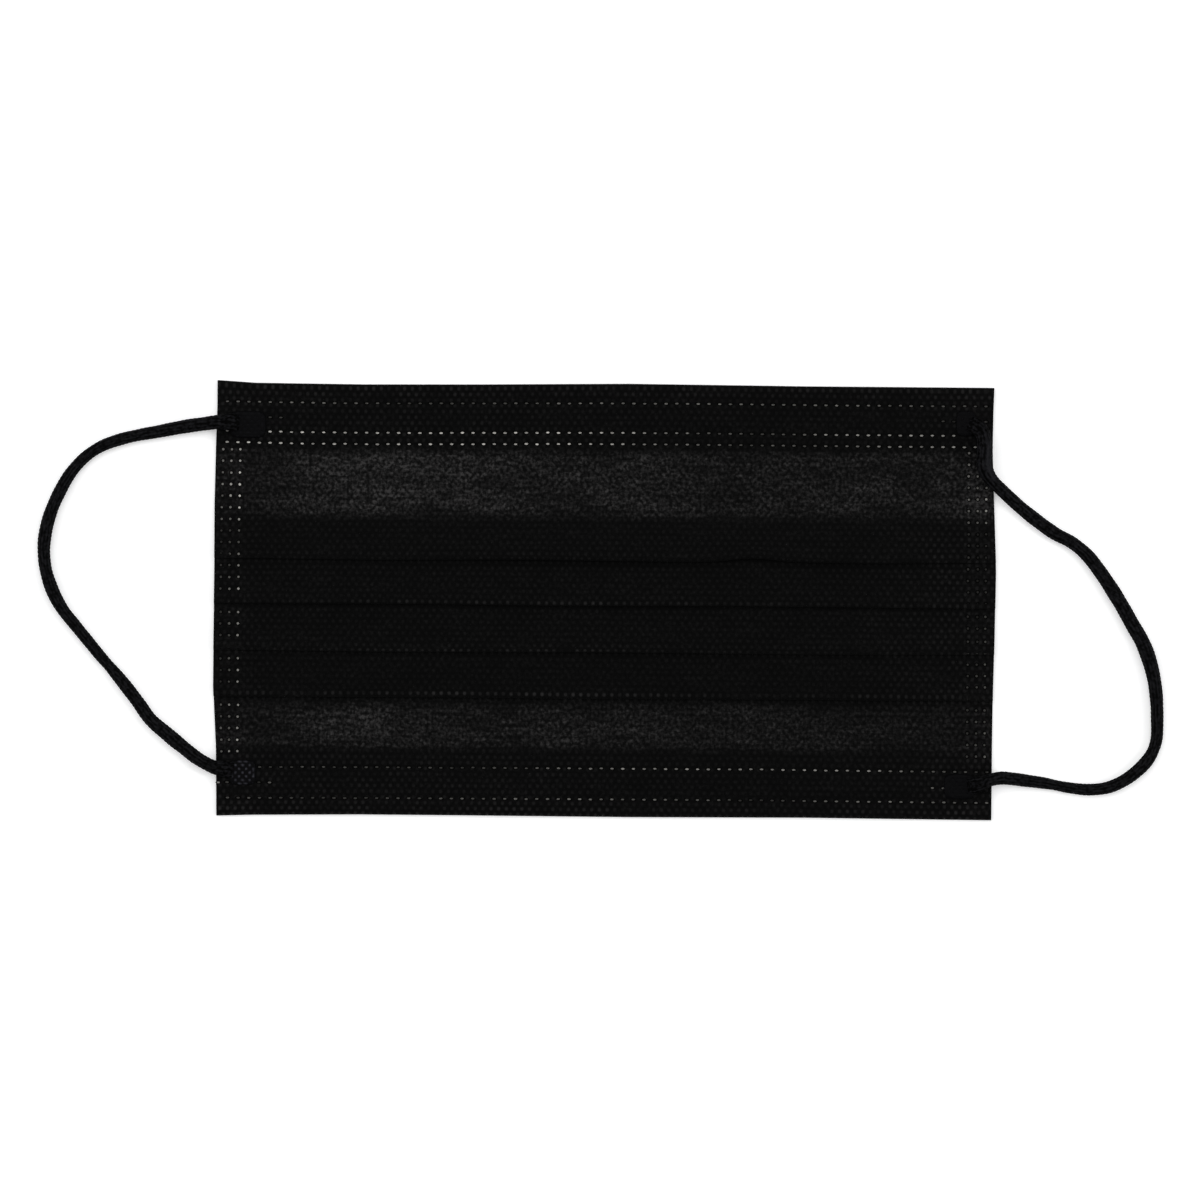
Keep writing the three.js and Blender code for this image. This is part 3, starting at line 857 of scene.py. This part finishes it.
def listWelds():
    spots = {}  # for each piece: x, y, half width, half height, paleness
    for hem, dashes in hemWelds.items():
        own = spots[hem + "_hem_welds"] = []
        for height, first, count, paleness in dashes:
            for i in range(count):
                x = first + weldPitch * i
                pale = between(paleness, x) * chance.uniform(0.84, 1.2)
                right, up = hemShift(hem, x)
                x += right
                y = height + up + chance.normal(0, 0.025)
                grow = chance.uniform(0.92, 1.06)
                own.append((x, y, hemSpot[0] * grow, hemSpot[1] * grow, pale))
    for side, dots in seamWelds.items():
        own = spots[side + "_seam_welds"] = []
        for middle, bow, paleness in dots:
            for i in range(seamDotRows["count"]):
                y = seamDotRows["from"] + seamDotRows["pitch"] * i + chance.normal(0, 0.03)
                pale = between(paleness, y) * chance.uniform(0.74, 1.18)
                half = seamDotRows["size"] * chance.uniform(0.88, 1.05)
                x = middle + between(bow, y) + chance.normal(0, 0.03)
                if side == "right":
                    y += between(rightRise, y)
                own.append((x, y, half, half, pale))
    return spots


spots = listWelds()


def pressPits():
    # the pins push the outer web down round every weld
    shown = np.where(rowShown)[0]
    gridX, gridY = clothX[shown], frontY[shown]
    dip = np.zeros_like(gridX)
    for x, y, halfWide, halfHigh, _ in sum(spots.values(), []):
        near = np.where(np.abs(gridY[:, middleColumn] - y) < 2.5)[0]
        a = (gridX[near] - x) / (halfWide * pit["wide"])
        b = (gridY[near] - y) / (halfHigh * pit["high"])
        dip[near] = np.maximum(dip[near], np.exp(-(a**2 + b**2)))
    upward = outZ[shown] > 0.3
    frontZ[shown] -= np.where(upward, dip * pit["depth"] * wall / cloth["wall"][0], 0)


pressPits()


def surfaceHeight(x, y):
    # top of the cloth at each place of the lists x and y, which lie close together
    facingUp = rowShown & (outZ[:, middleColumn] > 0.5)
    near = np.where(facingUp & (np.abs(frontY[:, middleColumn] - y.mean()) < np.ptp(y) / 2 + 3.5))[0]
    rowsY, rowsZ = (np.array([np.interp(x, clothX[i], front[i]) for i in near]) for front in (frontY, frontZ))
    heights = []
    for n in range(len(x)):
        order = np.argsort(rowsY[:, n])
        heights.append(np.interp(y[n], rowsY[order, n], rowsZ[order, n]))
    return np.array(heights)


def addCloth(outer, inner):
    rowCount, columnCount = rowY.shape
    coarse = slice(0, columnCount, 4)
    front = np.stack([clothX, frontY, frontZ], 2)
    back = np.stack([clothX, backY, backZ], 2)[:, coarse]
    first, wide = rowY.size, back.shape[1]
    outerFaces, innerFaces = [], []
    for i in range(rowCount - 1):
        a, c = i * columnCount, first + i * wide
        b, d = a + columnCount, c + wide
        outerFaces += [(a + j, b + j, b + j + 1, a + j + 1) for j in range(columnCount - 1)]
        innerFaces += [(c + j, c + j + 1, d + j + 1, d + j) for j in range(wide - 1)]
        outerFaces.append((a, c, d, b))  # cut edges at the sides
        outerFaces.append((b - 1, b + columnCount - 1, d + wide - 1, d - 1))
    last, low = (rowCount - 1) * columnCount, first + (rowCount - 1) * wide
    for j in range(wide - 1):  # free edges of the hems
        top = [4 * j + n for n in range(5)]
        outerFaces.append((*top, first + j + 1, first + j))
        outerFaces.append((*[last + n for n in reversed(top)], low + j, low + j + 1))
    points = np.concatenate([front.reshape(-1, 3), back.reshape(-1, 3)]) * mm
    piece = makeMesh("pleated_cloth", points, outerFaces + innerFaces, outer, inner)
    piece.data.polygons.foreach_set("material_index", [0] * len(outerFaces) + [1] * len(innerFaces))
    flat = np.stack([clothX, np.repeat(alongCloth[:, None], columnCount, 1)], 2)
    unroll(piece, np.concatenate([flat.reshape(-1, 2), flat[:, coarse].reshape(-1, 2)]))
    for name, values in (("lightThrough", paintLightThrough()), ("gleam", gleaming()), ("creaseShade", paintCreaseShade())):
        pointValue(piece, name, np.append(values.ravel(), np.zeros(rowCount * wide)))
    return piece


lightThroughBands = {
    # painted light: where one layer lies alone, light from beneath comes through it: heights where that
    # begins, is full, fades and is gone, and (place across, strength)
    "upper": {"y": (17.4, 21.2, 32.4, 34.6), "across": [
        (-88, 0.38), (-80, 0.33), (-73, 0.54), (-63, 1.04), (-52, 1.2), (-38, 0.85), (-24, 0.86),
        (-10, 0.65), (10, 0.68), (22, 0.68), (32, 0.5), (45, 0.52), (58, 0.57), (72, 0.56), (80, 0.68),
        (85, 1), (88, 0.9),
    ]},
    "lower": {"y": (-34.4, -32.4, -26, -21.6), "across": [
        (-88, 0.28), (-78, 0.31), (-70, 0.5), (-62, 0.8), (-52, 0.76), (-44, 0.54), (-30, 0.58), (-12, 0.54),
        (10, 0.56), (30, 0.5), (60, 0.34), (72, 0.2), (88, 0.24),
    ]},
}
# the side seams, pressed thin, are painted a little paler all the way down, as light from beneath comes
# through them
lightThroughSeams = {"from": (80.3, 81.5), "left": 0.035, "right": 0.06}


def paintLightThrough():
    value = np.zeros_like(clothX)
    for band in lightThroughBands.values():
        value = np.maximum(value, inBand(frontY, *band["y"]) * between(band["across"], clothX))
    ofSeam = np.where(clothX > 0, lightThroughSeams["right"], lightThroughSeams["left"])
    return (value + smoothStep(np.abs(clothX), *lightThroughSeams["from"]) * ofSeam) * rowShown[:, None]


# painted shade under each pleat's edge
creaseShades = {
    "from": -0.7,  # above the edge
    "to": [(1.14, 1.9), (0.66, 1.1), (0.66, 1.1), (0.6, 1.0)],  # below each edge, where it fades and is gone
    "seams": (80, 83),
    "atSeams": 0.4,  # share that is left there
    # how dark each one is along the mask
    "strength": (
        [(-88, 0.05), (-60, 0.1), (-35, 0.3), (-20, 0.6), (0, 0.5), (25, 0.45), (32, 0.6), (45, 0.5),
         (70, 0.4), (88, 0.2)],
        [(0, 0.3), (60, 0.1), (88, 0.2)],
        [(-88, 0.05), (-60, 0.1), (-20, 0.3), (20, 0.3), (60, 0.1), (88, 0.2)],
        [(0, 0), (30, 0.1), (50, 0.2), (88, 0.15)],
    ),
}


def paintCreaseShade():
    # painted shade just under each pleat's edge, where the fold casts its shadow
    value = np.zeros_like(clothX)
    for row, fade, strength in zip(edgeRow, creaseShades["to"], creaseShades["strength"]):
        inside = inBand(frontY[row] - frontY, creaseShades["from"], 0, *fade)
        value = np.maximum(value, inside * between(strength, clothX))
    onSeams = smoothStep(np.abs(clothX), *creaseShades["seams"])
    return value * rowShown[:, None] * mix(1, creaseShades["atSeams"], onSeams)


gleams = {
    # how strongly the fused dots catch the light, as painted highlight: everywhere, and what some parts of
    # the mask add
    "everywhere": 0.022,
    "rightSide": 0.075,
    "leftSide": 0.015,
    "hems": 0.035,
    "hemsAcross": [(-88, 1.9), (-20, 1.6), (10, 0.6), (70, 0.25), (80, 0.7)],
    "hemFolds": 0.08,
    # painted highlight on the row of dots at each pleat's edge, where the cloth bends over
    "edges": [
        [(-88, 0.05), (0, 0.08), (20, 0.05), (88, 0.05)],
        [(-88, 0.02), (-50, 0.1), (-20, 0.2), (5, 0.2), (20, 0.1), (60, 0.03), (88, 0.05)],
        [(-88, 0.02), (-50, 0.15), (-20, 0.3), (0, 0.25), (15, 0.12), (60, 0.04), (88, 0.05)],
        [(-88, 0.05), (-40, 0.25), (0, 0.25), (30, 0.18), (88, 0.05)],
    ],
}


def gleaming():
    fromMiddle = np.abs(frontY)
    value = gleams["everywhere"] + gleams["leftSide"] * (1 - smoothStep(clothX, -86, -70))
    value += gleams["rightSide"] * smoothStep(clothX, 52, 86) * (1 - 0.6 * smoothStep(frontY, 10, 30))
    value += gleams["hems"] * smoothStep(fromMiddle, flap, 36) * between(gleams["hemsAcross"], clothX)
    value += gleams["hemFolds"] * smoothStep(fromMiddle, 45.2, 47)
    for row, strength in zip(edgeRow, gleams["edges"]):
        value += inBand(frontY - frontY[row], 0.1, 0.3, 1.1, 1.4) * between(strength, clothX)
    return value


clothPiece = addCloth(spunbondWeb(), innerWeb())
place(clothPiece, "nonwoven_laminate", "pleated_body")


def addWelds(material):
    sides, rings = film["sides"], len(film["rings"]) - 1
    template = []  # a spot of half size 1: across, along, height over the cloth, paleness
    for ring, up, tone in film["rings"]:
        for turn in np.arange(sides if ring else 1) / sides * 2 * math.pi:
            template.append((ring * math.cos(turn), ring * math.sin(turn), up, tone))
    template.append((0, 0, -film["thick"], 0))
    across, along, up, tone = np.array(template).T
    rim, foot = 1 + (rings - 1) * sides, 1 + rings * sides
    shell = dishFaces(0, rings, sides) + [(rim + (j + 1) % sides, rim + j, foot) for j in range(sides)]
    pieces = []
    for name, own in spots.items():
        points, faces, pale = [], [], []
        for x, y, halfWide, halfHigh, paleness in own:
            faces += [tuple(len(points) + corner for corner in face) for face in shell]
            atX, atY = x + halfWide * across, y + halfHigh * along
            points += list(np.stack([atX, atY, surfaceHeight(atX, atY) + up], 1))
            # the film's paleness is painted light coming through it; its outer rings are a dark rim of
            # painted shade
            pale += list(((paleness / 255 + 0.055) / 1.055) ** 2.4 * film["strength"] * tone)
        piece = makeMesh(name, np.array(points) * mm, faces, material)
        pointValue(piece, "film", pale)
        place(piece, "nonwoven_laminate")
        pieces.append(piece)
    return pieces


weldPieces = addWelds(meltedSurface("fusedPolypropyleneFilm"))
print("cloth and", sum(len(own) for own in spots.values()), "welds made")

cordEnds = {
    # paleness of the knurl's pits, and how much further out the pad reaches under the cord
    "left_upper_cord_end": {"node": "left_upper_cord_weld", "bright": 0.05, "outward": -0.4},
    "left_lower_cord_end": {"node": "left_lower_cord_weld", "bright": 0.78, "outward": -0.6},
    "right_upper_cord_end": {"node": "right_upper_cord_weld", "bright": 0.015, "outward": 0.5},
    "right_lower_cord_end": {"node": "right_lower_cord_weld", "bright": 0.02, "outward": 0.5},
}
knurl = {
    "pitch": 1.6,
    "rows": 0.84,
    "depth": 0.14,
    "spot": (0.3, 0.95),  # size of a pit, as the range of the wave that makes it
    "uneven": (0.6, 1.25),  # some pits are pressed harder than others
    "fade": (0.88, 0.97),  # shares of the half size where the pits fade and are gone
    "thick": 0.55,
    "edgeFrom": 0.8,  # share of the half size where the edge turns down
    "edgeThick": 0.25,  # share of the thickness that is left at the edge
    "sunk": 0.12,
    "foot": 0.15,  # how deep the edge is pressed into the hem
    "corner": 4.2,  # how square the outline is
    "around": 88,
    "rings": 22,
    "crowded": 1.15,  # how much closer the rings lie towards the edge
}


def addCordEnd(name, facts, material):
    low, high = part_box(facts["node"])
    (low if facts["outward"] < 0 else high).x += facts["outward"] * mm
    centreX, centreY = (low.x + high.x) / 2 / mm, (low.y + high.y) / 2 / mm
    halfX, halfY = (high.x - low.x) / 2 / mm, (high.y - low.y) / 2 / mm
    spanX, spanY = np.meshgrid(np.linspace(-halfX, halfX, 7), np.linspace(-halfY, halfY, 7))
    base = surfaceHeight(centreX + spanX.ravel(), centreY + spanY.ravel()).max() - knurl["sunk"]
    around, rings, power = knurl["around"], knurl["rings"], 2 / knurl["corner"]
    press = chance.uniform(*knurl["uneven"], (11, 11))
    points, pits = [], []
    for r in range(rings + 1):
        ring = 1 - (1 - r / rings) ** knurl["crowded"]
        turned = max(0, (ring - knurl["edgeFrom"]) / (1 - knurl["edgeFrom"]))
        thick = knurl["thick"] * mix(knurl["edgeThick"], 1, math.sqrt(max(0, 1 - turned**2)))
        for j in range(around if r else 1):
            angle = 2 * math.pi * j / around
            c, s = math.cos(angle), math.sin(angle)
            x = halfX * ring * math.copysign(abs(c) ** power, c)
            y = halfY * ring * math.copysign(abs(s) ** power, s)
            dots = math.cos(2 * math.pi * x / knurl["pitch"]) * math.cos(math.pi * y / knurl["rows"])
            pitted = smoothStep(dots, *knurl["spot"]) * (1 - smoothStep(ring, *knurl["fade"]))
            pitted *= press[round(2 * x / knurl["pitch"]) + 5, round(y / knurl["rows"]) + 5]
            points.append((centreX + x, centreY + y, base + thick - knurl["depth"] * pitted))
            pits.append(pitted)
    faces = dishFaces(0, rings, around)
    rim, under = 1 + (rings - 1) * around, len(points)
    for j in range(around):
        k = (j + 1) % around
        points.append((*points[rim + j][:2], base - knurl["foot"]))
        faces.append((rim + j, under + j, under + k, rim + k))
    faces.append(tuple(reversed(range(under, under + around))))
    piece = makeMesh(name, np.array(points) * mm, faces, material)
    pointValue(piece, "pit", np.array(pits + [0] * around) * facts["bright"])
    place(piece, "welded_cord_end", facts["node"])


endMaterial = meltedSurface("weldedElasticEnd")
for endName, endFacts in cordEnds.items():
    addCordEnd(endName, endFacts, endMaterial)
print("cord ends made")
